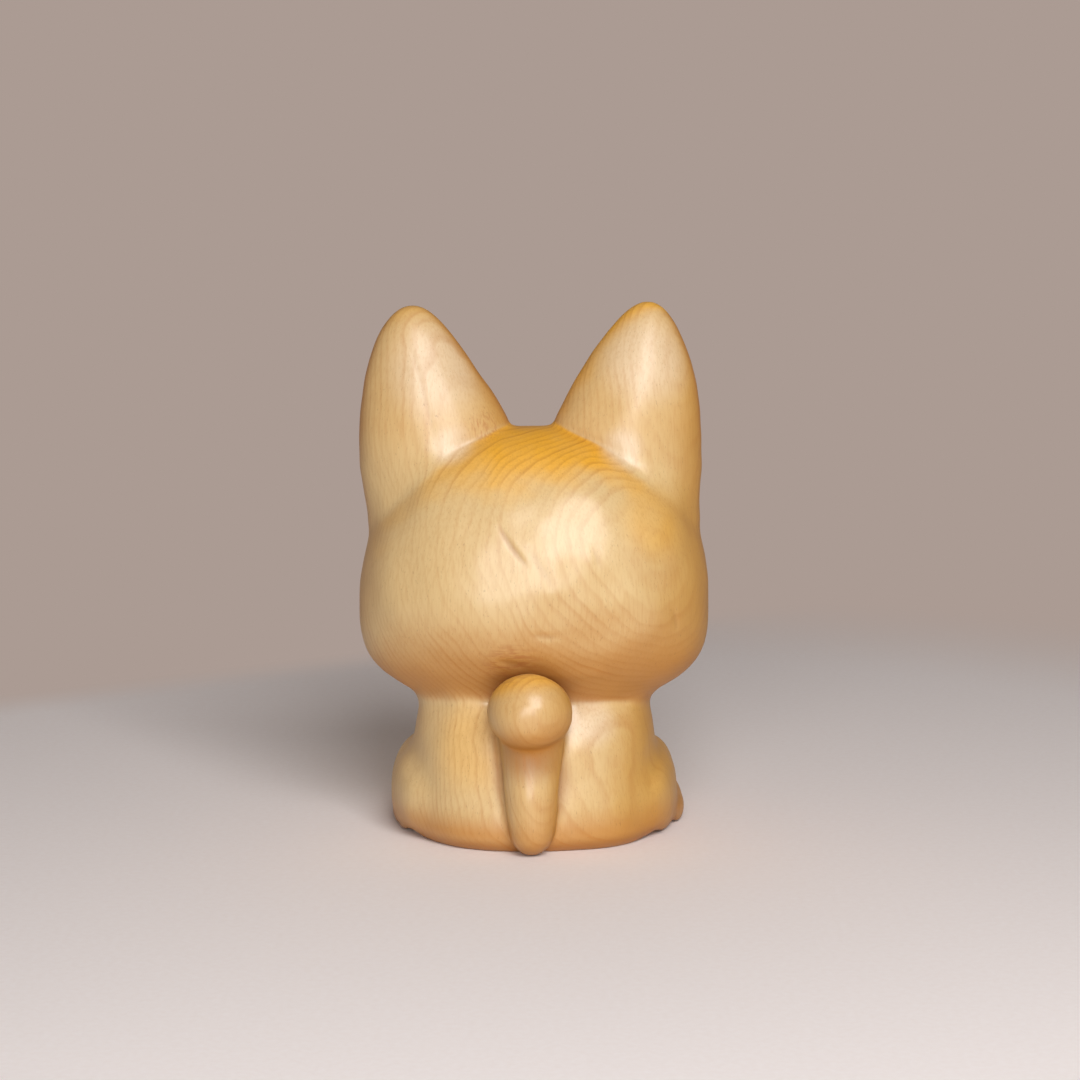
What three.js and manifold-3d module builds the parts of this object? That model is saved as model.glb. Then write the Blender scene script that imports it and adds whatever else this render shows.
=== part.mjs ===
// Lucky cat figurine: a seated cat carved in boxwood, with tall ears, full cheeks, one raised forepaw
// and a tail that climbs the back to a round tip. It is divided into its carved forms along the creases.
// Millimetres, +Z up. The cat faces -Y and its own left is +X. The origin lies under the middle of the
// figure, on the surface that it sits on.
import * as THREE from "three";
import { LoftGeometry } from "three/addons/geometries/LoftGeometry.js";
import { mergeVertices } from "three/addons/utils/BufferGeometryUtils.js";
import Module from "manifold-3d";

// Driving dimensions. A fullness is the exponent of an outline: 2 is an ellipse, more is squarer.
const SEAM = 0.3; // hairline between one form and the next

const TORSO = {
  baseWidth: 32.4,
  neckWidth: 29.4,
  baseBack: 15.6,
  neckBack: 11.2,
  baseFront: 13.4,
  neckFront: 11,
  neckHeight: 16.4,
  footRound: 1.8, // rounding of the lower edge
  flare: 2, // exponent of the narrowing towards the neck: 1 is straight, more is steeper under the neck
  fullness: 2.3,
};

const HEAD = {
  width: 44.7,
  front: 17,
  back: 16.5,
  drop: 12.4, // from the widest level down to the underside
  rise: 23.2, // from the widest level up to the crown
  sunk: 0.3, // how far the underside lies below the neck
  planFullness: 2.3,
  jowlFullness: 2.6, // profile below the widest level
  crownFullness: 2.25, // profile above it
};

// Heights of an ear are taken from the crown, and insets from the cheek towards the middle
const EAR = {
  tip: { inset: 6.9, height: 15.4 },
  rightTip: { inset: 8.1, height: 15.9 }, // carved by hand, so the right ear differs a little
  outerRoot: { inset: 3.3, height: -14.7 },
  outerBow: { inset: -2.5, height: -7.9 },
  innerRoot: { inset: 24.3, height: -6.7 },
  innerBow: { inset: 15.4, height: 5.3 },
  tipRound: { outer: 6.4, inner: 4.6 }, // reach of the edges' level start at the tip
  thickness: 0.68, // depth of a section as a share of its width
  lean: 0.5, // the ear's middle lies this far in front of the head's
  fullness: 1.75, // under 2 gives the back of the ear a soft ridge
  hollow: { share: 0.6, forward: 6.6, sink: 2.2 }, // the scooped front, lower and narrower than the ear
};

const HAUNCH = {
  width: 13.4,
  depth: 24,
  height: 14.8,
  middleHeight: 4.6,
  proud: 2.1, // out of the flank
  forward: 1.6,
  fullness: 2.4,
};

const HIND_PAW = {
  width: 10.4,
  length: 24,
  height: 6.6,
  middleHeight: 1.4,
  proud: { left: 2.5, right: 3.3 }, // out of the flank; carved by hand, so the two differ
  forward: 6.6,
  fullness: 2.3,
};

const FORELEG = { shoulderRadius: 5, wristRadius: 3.5, inset: 8, shoulderDrop: 1.8, forward: 2.6 };

const FOREPAW = { width: 8.6, length: 9.4, height: 6.2, middleHeight: 2.4, forward: 4.4 };

// Shoulder and elbow are placed from the chest and the neck, and the wrist from the skin of the face
const RAISED_ARM = {
  shoulder: { out: 8.2, forward: -6, height: -3.4 },
  elbow: { out: 10.6, forward: 8.6, height: -11.2 }, // the arm bends round this point
  wrist: { out: 12.2, level: -6.5, proud: 2.7 },
};

const RAISED_PAW = { width: 9, depth: 8.2, height: 10.4, aboveWrist: 1.2, forward: 0.6 };

const TAIL = {
  bottomRadius: 2.55,
  topRadius: 4.5,
  bottomBehind: 2.3, // stem's middle behind the torso's back, at the ground
  groundGap: 0.1, // the stem's rounded end all but touches the ground
  topBehind: 1.2, // stem's middle behind the neck's back, inside the tip
  tipWidth: 10.6,
  tipHeight: 11.2,
  tipBehind: 3.9, // tip's middle behind the neck's back
  tipLift: 1.8, // tip's middle above the head's underside
  tipAside: 0.4,
};

// Levels on the face are taken from the head's widest level
const EYE = { beadDiameter: 4.4, apart: 17.6, level: 3.6, proud: 1 };

const MUZZLE = {
  padWidth: 10.4,
  padHeight: 8,
  padApart: 5.8,
  padLevel: -4,
  padProud: 1.8,
  noseWidth: 4,
  noseHeight: 3,
  noseLevel: -0.8,
  noseProud: 2,
  chinWidth: 7,
  chinLevel: -6.8,
  chinProud: 1.6,
};

// Levels and reaches that follow from those sizes
const headBottom = TORSO.neckHeight - HEAD.sunk;
const cheekLevel = headBottom + HEAD.drop;
const crownLevel = cheekLevel + HEAD.rise;
const cheekReach = HEAD.width / 2;
const flankReach = TORSO.baseWidth / 2;

const SAME_POINT = 1e-4; // vertices nearer than this are one

// Facets round a form and along it
const LARGE = { around: 40, along: 26 };
const MIDDLE = { around: 26, along: 14 };
const SMALL = { around: 18, along: 10 };

const LEFT = { name: "left", sign: 1 };
const RIGHT = { name: "right", sign: -1 };
const SIDES = [LEFT, RIGHT];

const wasm = await Module();
wasm.setup();

// Closed geometries become solids, which are joined and cut
function bare(geometry) {
  const positions = new THREE.BufferGeometry();
  positions.setAttribute("position", geometry.getAttribute("position"));
  positions.setIndex(geometry.index);
  return mergeVertices(positions, SAME_POINT);
}

function solidOf(geometry) {
  const merged = bare(geometry);
  const vertProperties = merged.getAttribute("position").array;
  return new wasm.Manifold(new wasm.Mesh({ numProp: 3, vertProperties, triVerts: merged.index.array }));
}

function geometryOf(solid) {
  const { vertProperties, triVerts } = solid.getMesh();
  const geometry = new THREE.BufferGeometry();
  geometry.setAttribute("position", new THREE.BufferAttribute(vertProperties, 3));
  geometry.setIndex(new THREE.BufferAttribute(triVerts, 1));
  geometry.computeVertexNormals();
  return geometry;
}

// The same closed form with its skin moved outwards, for cutting a seat in a neighbour
function grown(geometry, distance) {
  const skin = bare(geometry);
  skin.computeVertexNormals();
  const point = skin.getAttribute("position");
  const normal = skin.getAttribute("normal");
  const moved = new THREE.Vector3();
  const out = new THREE.Vector3();
  for (let i = 0; i < point.count; i += 1) {
    out.fromBufferAttribute(normal, i);
    moved.fromBufferAttribute(point, i).addScaledVector(out, distance);
    point.setXYZ(i, moved.x, moved.y, moved.z);
  }
  return skin;
}

// A share from -1 to 1 along an axis, pushed outwards by a fullness above 2 and inwards by one below it
function fuller(share, fullness) {
  return Math.sign(share) * Math.abs(share) ** (2 / fullness);
}

// A rounded form: an ellipsoid with its own half-size each way along every axis, made fuller by exponents
function roundForm(shape, facets) {
  const { centre, side, front, back, up, down, plan, upper, lower } = shape;
  const geometry = new THREE.SphereGeometry(1, facets.around, facets.along).rotateX(Math.PI / 2);
  const point = geometry.getAttribute("position");
  const ball = new THREE.Vector3();
  for (let i = 0; i < point.count; i += 1) {
    ball.fromBufferAttribute(point, i);
    const profile = ball.z > 0 ? upper : lower;
    const turn = Math.atan2(ball.y, ball.x);
    const level = fuller(Math.hypot(ball.x, ball.y), profile);
    const x = fuller(Math.cos(turn), plan) * level * side;
    const y = fuller(Math.sin(turn), plan) * level * (ball.y > 0 ? back : front);
    const z = fuller(ball.z, profile) * (ball.z > 0 ? up : down);
    point.setXYZ(i, centre.x + x, centre.y + y, centre.z + z);
  }
  return geometry;
}

// An evenly rounded form of the given full sizes
function egg(centre, width, depth, height, facets, fullness = 2) {
  const half = { side: width / 2, front: depth / 2, back: depth / 2, up: height / 2, down: height / 2 };
  return roundForm({ centre, ...half, plan: fullness, upper: fullness, lower: fullness }, facets);
}

// A closed outline round a centre, spanned by two half-axes and made fuller by an exponent
function ring(centre, halfWidth, halfDepth, fullness, sides) {
  return Array.from({ length: sides }, (_, i) => {
    const turn = (i / sides) * 2 * Math.PI;
    const wide = fuller(Math.cos(turn), fullness);
    const deep = fuller(Math.sin(turn), fullness);
    return centre.clone().addScaledVector(halfWidth, wide).addScaledVector(halfDepth, deep);
  });
}

const capped = { capStart: true, capEnd: true };

// A limb: a round section that follows a path, tapers from one radius to the other and has rounded ends
function limb(path, startRadius, endRadius, facets) {
  const length = path.getLength();
  const roundSteps = 4;
  const firstStep = 0.5; // a rounded end starts with a small flat
  const quarter = (step) => ((step + firstStep) / (roundSteps + firstStep)) * (Math.PI / 2);
  const roundStart = [];
  const roundEnd = [];
  for (let step = 0; step < roundSteps; step += 1) {
    const share = Math.sin(quarter(step));
    const fromEnd = 1 - Math.cos(quarter(step));
    roundStart.push({ at: startRadius * fromEnd, share });
    roundEnd.unshift({ at: length - endRadius * fromEnd, share });
  }
  const body = Array.from({ length: facets.along + 1 }, (_, i) => {
    return { at: THREE.MathUtils.lerp(startRadius, length - endRadius, i / facets.along), share: 1 };
  });
  const sideways = new THREE.Vector3(1, 0, 0);
  const sections = [...roundStart, ...body, ...roundEnd].map(({ at, share }) => {
    const along = path.getTangentAt(at / length);
    const deep = new THREE.Vector3().crossVectors(along, sideways).normalize();
    const wide = new THREE.Vector3().crossVectors(deep, along);
    const radius = share * THREE.MathUtils.lerp(startRadius, endRadius, at / length);
    const middle = path.getPointAt(at / length);
    return ring(middle, wide.multiplyScalar(radius), deep.multiplyScalar(radius), 2, facets.around);
  });
  return new LoftGeometry(sections, capped);
}

// Head: wide low cheeks under a rounder crown
function headForm() {
  const shape = {
    centre: new THREE.Vector3(0, 0, cheekLevel),
    side: cheekReach,
    front: HEAD.front,
    back: HEAD.back,
    up: HEAD.rise,
    down: HEAD.drop,
    plan: HEAD.planFullness,
    upper: HEAD.crownFullness,
    lower: HEAD.jowlFullness,
  };
  return roundForm(shape, LARGE);
}

// A point by the skin of the face: across, up from the head's widest level, and out of the skin
function onFace(x, level, proud) {
  const profile = level > 0 ? HEAD.crownFullness : HEAD.jowlFullness;
  const height = Math.abs(level) / (level > 0 ? HEAD.rise : HEAD.drop);
  const plan = (1 - height ** profile) ** (HEAD.planFullness / profile);
  const share = (plan - Math.abs(x / cheekReach) ** HEAD.planFullness) ** (1 / HEAD.planFullness);
  return new THREE.Vector3(x, -HEAD.front * share - proud, cheekLevel + level);
}

// Torso: a bell with a rounded foot, drawn in at the neck and running up into the head
function torsoForm() {
  const insideHead = headBottom + HEAD.drop / 2;
  const footSteps = 4;
  const levels = Array.from({ length: footSteps }, (_, i) => TORSO.footRound * (i / footSteps) ** 2);
  for (let i = 0; i <= MIDDLE.along; i += 1) {
    levels.push(THREE.MathUtils.lerp(TORSO.footRound, insideHead, i / MIDDLE.along));
  }
  const sections = levels.map((z) => {
    const drawnIn = Math.min(z / TORSO.neckHeight, 1) ** TORSO.flare;
    const foot = 1 - Math.min(z / TORSO.footRound, 1);
    const undercut = TORSO.footRound * (1 - Math.sqrt(1 - foot ** 2));
    const between = (base, neck) => THREE.MathUtils.lerp(base, neck, drawnIn) - undercut;
    const front = between(TORSO.baseFront, TORSO.neckFront);
    const back = between(TORSO.baseBack, TORSO.neckBack);
    const halfWidth = new THREE.Vector3(between(flankReach, TORSO.neckWidth / 2), 0, 0);
    const halfDepth = new THREE.Vector3(0, (front + back) / 2, 0);
    const centre = new THREE.Vector3(0, (back - front) / 2, z);
    return ring(centre, halfWidth, halfDepth, TORSO.fullness, LARGE.around);
  });
  return new LoftGeometry(sections, capped);
}

// Ear: spanned between its outer edge, which stands over the cheek, and its inner edge, down to the crown
function earForm(side, share = 1, forward = 0, sink = 0) {
  const tip = side === LEFT ? EAR.tip : EAR.rightTip;
  const shift = tip.inset - EAR.tip.inset;
  const y = -EAR.lean - forward;
  const place = (inset, height) => {
    return new THREE.Vector3(side.sign * (cheekReach - inset), y, crownLevel + height - sink);
  };
  const edge = (root, bow, round) => {
    return new THREE.CubicBezierCurve3(
      place(root.inset, root.height),
      place(bow.inset + shift, bow.height),
      place(tip.inset - round, tip.height),
      place(tip.inset, tip.height),
    );
  };
  const outer = edge(EAR.outerRoot, EAR.outerBow, EAR.tipRound.outer);
  const inner = edge(EAR.innerRoot, EAR.innerBow, -EAR.tipRound.inner);
  const crowding = 1.5; // sections lie closer together towards the tip
  const tipStep = MIDDLE.along + 0.4; // the last section stops just short of the tip
  const sections = Array.from({ length: MIDDLE.along + 1 }, (_, i) => {
    const t = 1 - (1 - i / tipStep) ** crowding;
    const middle = outer.getPoint(t).add(inner.getPoint(t)).multiplyScalar(0.5);
    const halfWidth = outer.getPoint(t).sub(middle).multiplyScalar(side.sign * share);
    const halfDepth = new THREE.Vector3(0, halfWidth.length() * EAR.thickness, 0);
    return ring(middle, halfWidth, halfDepth, EAR.fullness, MIDDLE.around);
  });
  return new LoftGeometry(sections, capped);
}

function earSolid(side) {
  const { share, forward, sink } = EAR.hollow;
  return solidOf(earForm(side)).subtract(solidOf(earForm(side, share, forward, sink)));
}

// Haunch: the folded thigh, bulging out of the flank
function haunchForm(side) {
  const x = side.sign * (flankReach + HAUNCH.proud - HAUNCH.width / 2);
  const middle = new THREE.Vector3(x, -HAUNCH.forward, HAUNCH.middleHeight);
  return egg(middle, HAUNCH.width, HAUNCH.depth, HAUNCH.height, MIDDLE, HAUNCH.fullness);
}

// Hind paw: a long low foot beside the body, toes to the front
function hindPawForm(side) {
  const x = side.sign * (flankReach + HIND_PAW.proud[side.name] - HIND_PAW.width / 2);
  const middle = new THREE.Vector3(x, -HIND_PAW.forward, HIND_PAW.middleHeight);
  return egg(middle, HIND_PAW.width, HIND_PAW.length, HIND_PAW.height, MIDDLE, HIND_PAW.fullness);
}

// Left foreleg: straight down before the chest, to a paw on the ground
function standingLegForm() {
  const top = TORSO.neckHeight - FORELEG.shoulderDrop + FORELEG.shoulderRadius;
  const shoulder = new THREE.Vector3(FORELEG.inset, -TORSO.neckFront, top);
  const sole = new THREE.Vector3(FORELEG.inset, -TORSO.neckFront - FORELEG.forward, 0);
  return limb(new THREE.LineCurve3(shoulder, sole), FORELEG.shoulderRadius, FORELEG.wristRadius, SMALL);
}

function standingPawForm() {
  const y = -TORSO.neckFront - FOREPAW.forward;
  const middle = new THREE.Vector3(FORELEG.inset, y, FOREPAW.middleHeight);
  return egg(middle, FOREPAW.width, FOREPAW.length, FOREPAW.height, SMALL);
}

// Right foreleg: raised from the elbow, its paw before the cheek
function raisedWrist() {
  const { out, level, proud } = RAISED_ARM.wrist;
  return onFace(-out, level, proud);
}

function raisedArmForm() {
  const byChest = ({ out, forward, height }) => {
    return new THREE.Vector3(-out, -TORSO.neckFront - forward, TORSO.neckHeight + height);
  };
  const { shoulder, elbow } = RAISED_ARM;
  const path = new THREE.QuadraticBezierCurve3(byChest(shoulder), byChest(elbow), raisedWrist());
  return limb(path, FORELEG.shoulderRadius, FORELEG.wristRadius, SMALL);
}

function raisedPawForm() {
  const middle = raisedWrist().add(new THREE.Vector3(0, -RAISED_PAW.forward, RAISED_PAW.aboveWrist));
  return egg(middle, RAISED_PAW.width, RAISED_PAW.depth, RAISED_PAW.height, SMALL);
}

// Tail: a stem that rises from the ground against the back, and its round tip under the head
function tailTipMiddle() {
  return new THREE.Vector3(TAIL.tipAside, TORSO.neckBack + TAIL.tipBehind, headBottom + TAIL.tipLift);
}

function tailStemForm() {
  const bottom = new THREE.Vector3(0, TORSO.baseBack + TAIL.bottomBehind, TAIL.groundGap);
  const top = tailTipMiddle().setY(TORSO.neckBack + TAIL.topBehind);
  return limb(new THREE.LineCurve3(bottom, top), TAIL.bottomRadius, TAIL.topRadius, SMALL);
}

function tailTipForm() {
  return egg(tailTipMiddle(), TAIL.tipWidth, TAIL.tipWidth, TAIL.tipHeight, MIDDLE);
}

// Muzzle: two whisker pads, the nose above them and the chin below
function muzzleSolid() {
  const bump = (x, level, proud, width, height) => {
    return egg(onFace(x, level, proud - width / 2), width, width, height, SMALL);
  };
  const { padWidth, padHeight, padApart, padLevel, padProud } = MUZZLE;
  const pads = SIDES.map((side) => bump((side.sign * padApart) / 2, padLevel, padProud, padWidth, padHeight));
  const nose = bump(0, MUZZLE.noseLevel, MUZZLE.noseProud, MUZZLE.noseWidth, MUZZLE.noseHeight);
  const chin = bump(0, MUZZLE.chinLevel, MUZZLE.chinProud, MUZZLE.chinWidth, MUZZLE.chinWidth);
  return [...pads, nose, chin].map(solidOf).reduce((joined, solid) => joined.add(solid));
}

// Eye: a round bead sunk in a socket of the face
function eyeBead(side) {
  const middle = onFace((side.sign * EYE.apart) / 2, EYE.level, EYE.proud - EYE.beadDiameter / 2);
  return egg(middle, EYE.beadDiameter, EYE.beadDiameter, EYE.beadDiameter, SMALL);
}

// The ground: all that lies below the surface that the cat sits on
const groundSize = 4 * HEAD.width;
const ground = solidOf(
  new THREE.BoxGeometry(groundSize, groundSize, groundSize).translate(0, 0, -groundSize / 2),
);

// Cuts a form back from its neighbours, a hairline clear of each, and off flat at the ground
function seated(solid, neighbours) {
  const clear = neighbours.reduce((left, form) => left.subtract(solidOf(grown(form, SEAM))), solid);
  return clear.subtract(ground);
}

const boxwood = new THREE.MeshStandardMaterial({ color: 0xd9ab68, roughness: 0.42, metalness: 0 });
const ebony = new THREE.MeshStandardMaterial({ color: 0x1c120c, roughness: 0.18, metalness: 0 });

const figure = new THREE.Group();

function addPiece(name, solid, material = boxwood) {
  const mesh = new THREE.Mesh(geometryOf(solid), material);
  mesh.name = name;
  figure.add(mesh);
}

const head = headForm();
const torso = torsoForm();
const haunches = SIDES.map(haunchForm);
const hindPaws = SIDES.map(hindPawForm);
const hindForms = [...haunches, ...hindPaws];
const beads = SIDES.map(eyeBead);
const standingLeg = standingLegForm();
const raisedArm = raisedArmForm();
const tailStem = tailStemForm();

addPiece("head", seated(solidOf(head), beads));
addPiece("torso", seated(solidOf(torso), [head]));
addPiece("muzzle", seated(muzzleSolid(), [head]));
SIDES.forEach((side, i) => {
  addPiece(`${side.name}_ear`, seated(earSolid(side), [head]));
  addPiece(`${side.name}_haunch`, seated(solidOf(haunches[i]), [torso]));
  addPiece(`${side.name}_hind_paw`, seated(solidOf(hindPaws[i]), [torso, haunches[i]]));
  addPiece(`${side.name}_eye`, solidOf(beads[i]), ebony);
});
addPiece("left_foreleg", seated(solidOf(standingLeg), [torso, head, ...hindForms]));
addPiece("left_forepaw", seated(solidOf(standingPawForm()), [torso, standingLeg, ...hindForms]));
addPiece("right_foreleg", seated(solidOf(raisedArm), [torso, head, ...hindForms]));
addPiece("right_forepaw", seated(solidOf(raisedPawForm()), [torso, head, raisedArm]));
addPiece("tail_stem", seated(solidOf(tailStem), [torso, head]));
addPiece("tail_tip", seated(solidOf(tailTipForm()), [torso, head, tailStem]));

// The origin goes under the middle of the whole figure
const box = new THREE.Box3().setFromObject(figure);
const middle = box.getCenter(new THREE.Vector3());
figure.position.set(-middle.x, -middle.y, 0);

export default figure;
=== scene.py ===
"""Looks of the lucky cat: a seated cat carved from one block of boxwood and waxed, with ebony eye beads.

Each form of the frame gives a distance field on one block of points. The fields are rubbed smooth, run
together over the creases and cut with the carver's strokes. The skin that they give is then parted along
the creases again, into one closed piece for each form.
"""
import functools
import math
from typing import NamedTuple

import bmesh
import bpy
import numpy as np
import openvdb
from mathutils import Matrix, Vector


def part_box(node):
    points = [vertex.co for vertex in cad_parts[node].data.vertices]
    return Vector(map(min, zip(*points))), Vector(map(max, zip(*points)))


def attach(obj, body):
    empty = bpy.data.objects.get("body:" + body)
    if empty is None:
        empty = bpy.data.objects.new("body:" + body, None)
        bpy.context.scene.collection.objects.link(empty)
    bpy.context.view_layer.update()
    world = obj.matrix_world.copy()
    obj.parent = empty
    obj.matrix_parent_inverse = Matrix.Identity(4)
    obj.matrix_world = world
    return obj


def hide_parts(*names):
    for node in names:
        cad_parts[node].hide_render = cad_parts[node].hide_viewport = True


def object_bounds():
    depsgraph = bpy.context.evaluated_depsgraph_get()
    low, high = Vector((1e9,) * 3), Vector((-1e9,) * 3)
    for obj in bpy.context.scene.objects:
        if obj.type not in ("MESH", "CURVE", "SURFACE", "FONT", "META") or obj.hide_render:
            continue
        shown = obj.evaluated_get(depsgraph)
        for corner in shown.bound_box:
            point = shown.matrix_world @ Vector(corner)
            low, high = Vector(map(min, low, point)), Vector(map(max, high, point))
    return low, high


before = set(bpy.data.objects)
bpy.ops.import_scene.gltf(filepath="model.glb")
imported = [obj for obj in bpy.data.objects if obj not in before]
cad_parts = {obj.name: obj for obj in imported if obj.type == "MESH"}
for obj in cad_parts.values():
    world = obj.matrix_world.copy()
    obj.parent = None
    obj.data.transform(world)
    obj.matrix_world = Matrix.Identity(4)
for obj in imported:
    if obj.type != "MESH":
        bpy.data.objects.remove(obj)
cad_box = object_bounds()

# Sizes are in millimetres, while the frame and Blender count in metres
MM = 0.001

# The cat's own directions
LEFT = (1.0, 0.0, 0.0)
BACKWARD = (0.0, 1.0, 0.0)
UP = (0.0, 0.0, 1.0)


class Form(NamedTuple):
    """How one carved form is finished."""

    rub: float  # depth to which its facets are rubbed down
    regain: float  # what it is drawn out by, over half the hairline at its creases
    tuck: float = 0.0  # how far its sides round under at the ground


class Mass(NamedTuple):
    """Forms that are carved as one, and how they meet what was carved before them."""

    forms: tuple
    inner_flow: float = 0.0  # width over which these forms run into each other
    flow: float = 0.0  # width over which they run into the rest, near the middle of the figure
    side_flow: float = 0.0  # and at its sides
    groove: float = 0.0  # depth of the knife line along the crease


class Back(NamedTuple):
    """How a form's back is drawn in from the frame's."""

    heights: tuple  # two heights, and the shares of the depth at them
    shares: tuple
    sets_in: tuple  # from front to back, the places over which it sets in
    depth: float


class Stroke(NamedTuple):
    """One stroke of the knife along the skin."""

    path: tuple  # points on or near the skin
    width: float
    depth: float


class Spot(NamedTuple):
    """A soft round patch on the carving."""

    place: tuple
    reach: float


class Tint(NamedTuple):
    """A tone that lies over the wood where its mask is."""

    mask: str
    tone: str
    strength: float


class Lamp(NamedTuple):
    """A soft lamp and where it stands, seen from the figure."""

    azimuth: float
    elevation: float
    distance: float
    width: float
    height: float
    power: float
    glossy: bool = True  # whether the polish mirrors it


def on_screen(red, green, blue):
    """A colour as a screen shows it, from 0 to 255, in linear light."""
    shares = [value / 255 for value in (red, green, blue)]
    return tuple(s / 12.92 if s <= 0.04045 else ((s + 0.055) / 1.055) ** 2.4 for s in shares) + (1.0,)


# The block of points
STEP = 0.36  # between one point and the next
ROOM = 5.0  # between the figure and the block's sides
REACH = 4.6  # distances from a form are told apart up to here
FAR = 0.999 * REACH  # and what is farther than this is out of reach
LAST_PLACE = 1.001  # from the block's end, in steps, to the last place where a field is read
LEAST_SLOPE = 1e-9  # where a field is flat
SKIN_STEPS = 4  # that bring a point onto a skin

# The carved forms
FORMS = {
    "head": Form(rub=1.4, regain=0.12),
    "torso": Form(rub=1.0, regain=0.12, tuck=0.6),
    "left_haunch": Form(rub=0.6, regain=0.16, tuck=0.4),
    "right_haunch": Form(rub=0.6, regain=0.16, tuck=0.4),
    "left_hind_paw": Form(rub=0.5, regain=0.16, tuck=0.3),
    "right_hind_paw": Form(rub=0.5, regain=0.16, tuck=0.3),
    "tail_stem": Form(rub=0.6, regain=0.22),
    "tail_tip": Form(rub=0.8, regain=0.22),
    "left_ear": Form(rub=0.5, regain=0.2),
    "right_ear": Form(rub=0.5, regain=0.2),
    "muzzle": Form(rub=0.9, regain=0.35),
    "left_foreleg": Form(rub=0.6, regain=0.18),
    "right_foreleg": Form(rub=0.6, regain=0.18),
    "left_forepaw": Form(rub=0.5, regain=0.18),
    "right_forepaw": Form(rub=0.5, regain=0.18),
}
MASSES = (
    Mass(("head",)),
    Mass(("torso",), flow=3.8, side_flow=2.4),
    Mass(("left_haunch", "left_hind_paw"), inner_flow=0.7, flow=1.2, side_flow=1.0),
    Mass(("right_haunch", "right_hind_paw"), inner_flow=0.7, flow=1.2, side_flow=1.0),
    Mass(("tail_stem", "tail_tip"), inner_flow=1.2, flow=0.7, side_flow=0.7, groove=0.22),
    Mass(("left_ear",), flow=1.0, side_flow=3.2),
    Mass(("right_ear",), flow=1.0, side_flow=3.2),
    Mass(("muzzle",), flow=1.8, side_flow=1.8),
    Mass(("left_foreleg", "left_forepaw"), inner_flow=0.7, flow=1.3, side_flow=1.3, groove=0.1),
    Mass(("right_foreleg", "right_forepaw"), inner_flow=1.0, flow=1.2, side_flow=1.2, groove=0.1),
)
# The head's back turns under sooner than in the frame, the torso's stays full up to the neck, and the tail's
# stem stands steeper
BACKS = {
    "head": Back(heights=(17.0, 33.0), shares=(1, 0), sets_in=(0.0, 12.0), depth=2.2),
    "torso": Back(heights=(8.0, 15.0), shares=(0, 1), sets_in=(0.0, 8.0), depth=-1.0),
    "tail_stem": Back(heights=(0.0, 10.0), shares=(1, 0), sets_in=(0.0, 1.0), depth=1.4),
}
BELOW_GROUND = 4.0  # how far soles are drawn down, so that their rims stay sharp when the forms are rubbed
ON_GROUND = 0.001  # up to this height a point belongs to a sole
SIDES_FROM = (8.0, 18.0)  # distances from the middle plane over which the flow changes
GROOVE_WIDTH = 1.3
LAST_RUB = 0.36  # over the whole carving
TUCK_HEIGHT = 2.6  # height from which sides begin to round under
HAND_WAVES = {2.6: 0.07, 1.0: 0.022}  # the unevenness of a hand-cut surface: length and height of its swells
WAVE_SEED = 11
BOX_EASE = 0.3  # where the carving meets the frame's box

# Marks that the knife left on the back of the head and on an ear
KNIFE_MARKS = (
    Stroke(((4.2, 14.5, 41.0), (2.7, 15.4, 38.6), (0.9, 16.0, 36.4)), width=1.0, depth=0.16),
    Stroke(((0.4, 15.6, 38.3), (-1.0, 16.0, 36.0), (-2.1, 16.3, 34.0)), width=1.3, depth=0.08),
    Stroke(((-7.4, 14.9, 38.5), (-8.0, 15.3, 36.3)), width=0.8, depth=0.08),
    Stroke(((4.2, 14.8, 24.5), (2.9, 14.8, 24.2), (1.6, 14.7, 24.0)), width=1.0, depth=0.12),
    Stroke(((-0.2, 16.7, 27.7), (-2.9, 16.6, 27.4)), width=0.9, depth=0.1),
    Stroke(((-17.6, 11.6, 30.0), (-18.1, 11.0, 27.6)), width=0.8, depth=0.08),
    Stroke(
        ((15.2, 3.5, 61.5), (14.2, 4.6, 58.0), (13.2, 5.5, 54.4), (12.0, 6.5, 49.2)),
        width=0.6,
        depth=0.1,
    ),
)
STROKE_STEP = 0.3  # between points along a stroke
STROKE_EASE = 0.15  # rounding of a stroke's rim
STROKE_SWELL = (0.05, 0.95)  # part of a half wave by which a stroke deepens and runs out
STROKE_ROOM = 2  # points of the block beyond a stroke

# Toes: two strokes on each paw, over the end that looks forward. Turns are degrees above the level.
TOE_TURNS = {
    "left_hind_paw": (-5.0, 62.0),
    "right_hind_paw": (-5.0, 62.0),
    "left_forepaw": (-5.0, 62.0),
    "right_forepaw": (10.0, 88.0),
}
TOE_POINTS = 5
TOE_APART = 0.34  # of the paw's half width, from its middle
TOE_LINE = {"width": 1.3, "depth": 0.5}

# Mouth: shares of the muzzle's width from its middle, and of its height
MOUTH = (
    ((0.0, 0.74), (0.0, 0.5)),
    ((0.0, 0.5), (0.16, 0.4), (0.32, 0.42), (0.42, 0.5)),
    ((0.0, 0.5), (-0.16, 0.4), (-0.32, 0.42), (-0.42, 0.5)),
)
MOUTH_LINE = {"width": 0.8, "depth": 0.26}

# Meshes
PART_REACH = 3.0  # how far a piece may reach beyond its form
WELD = 0.005  # corners nearer than this become one
MOST_CORNERS = 4  # faces with more are fanned out
CRUMB = 40  # islands of fewer faces are swept away
HOLLOWS = {"hollow": 0.6, "sheltered": 2.0}  # marks of narrow and wide hollows: how wide they are
SKIN_NEAR = 0.12  # a corner this near to the carving's skin is on it
SKIN_TURN = 0.6  # and its face looks the same way

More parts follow.
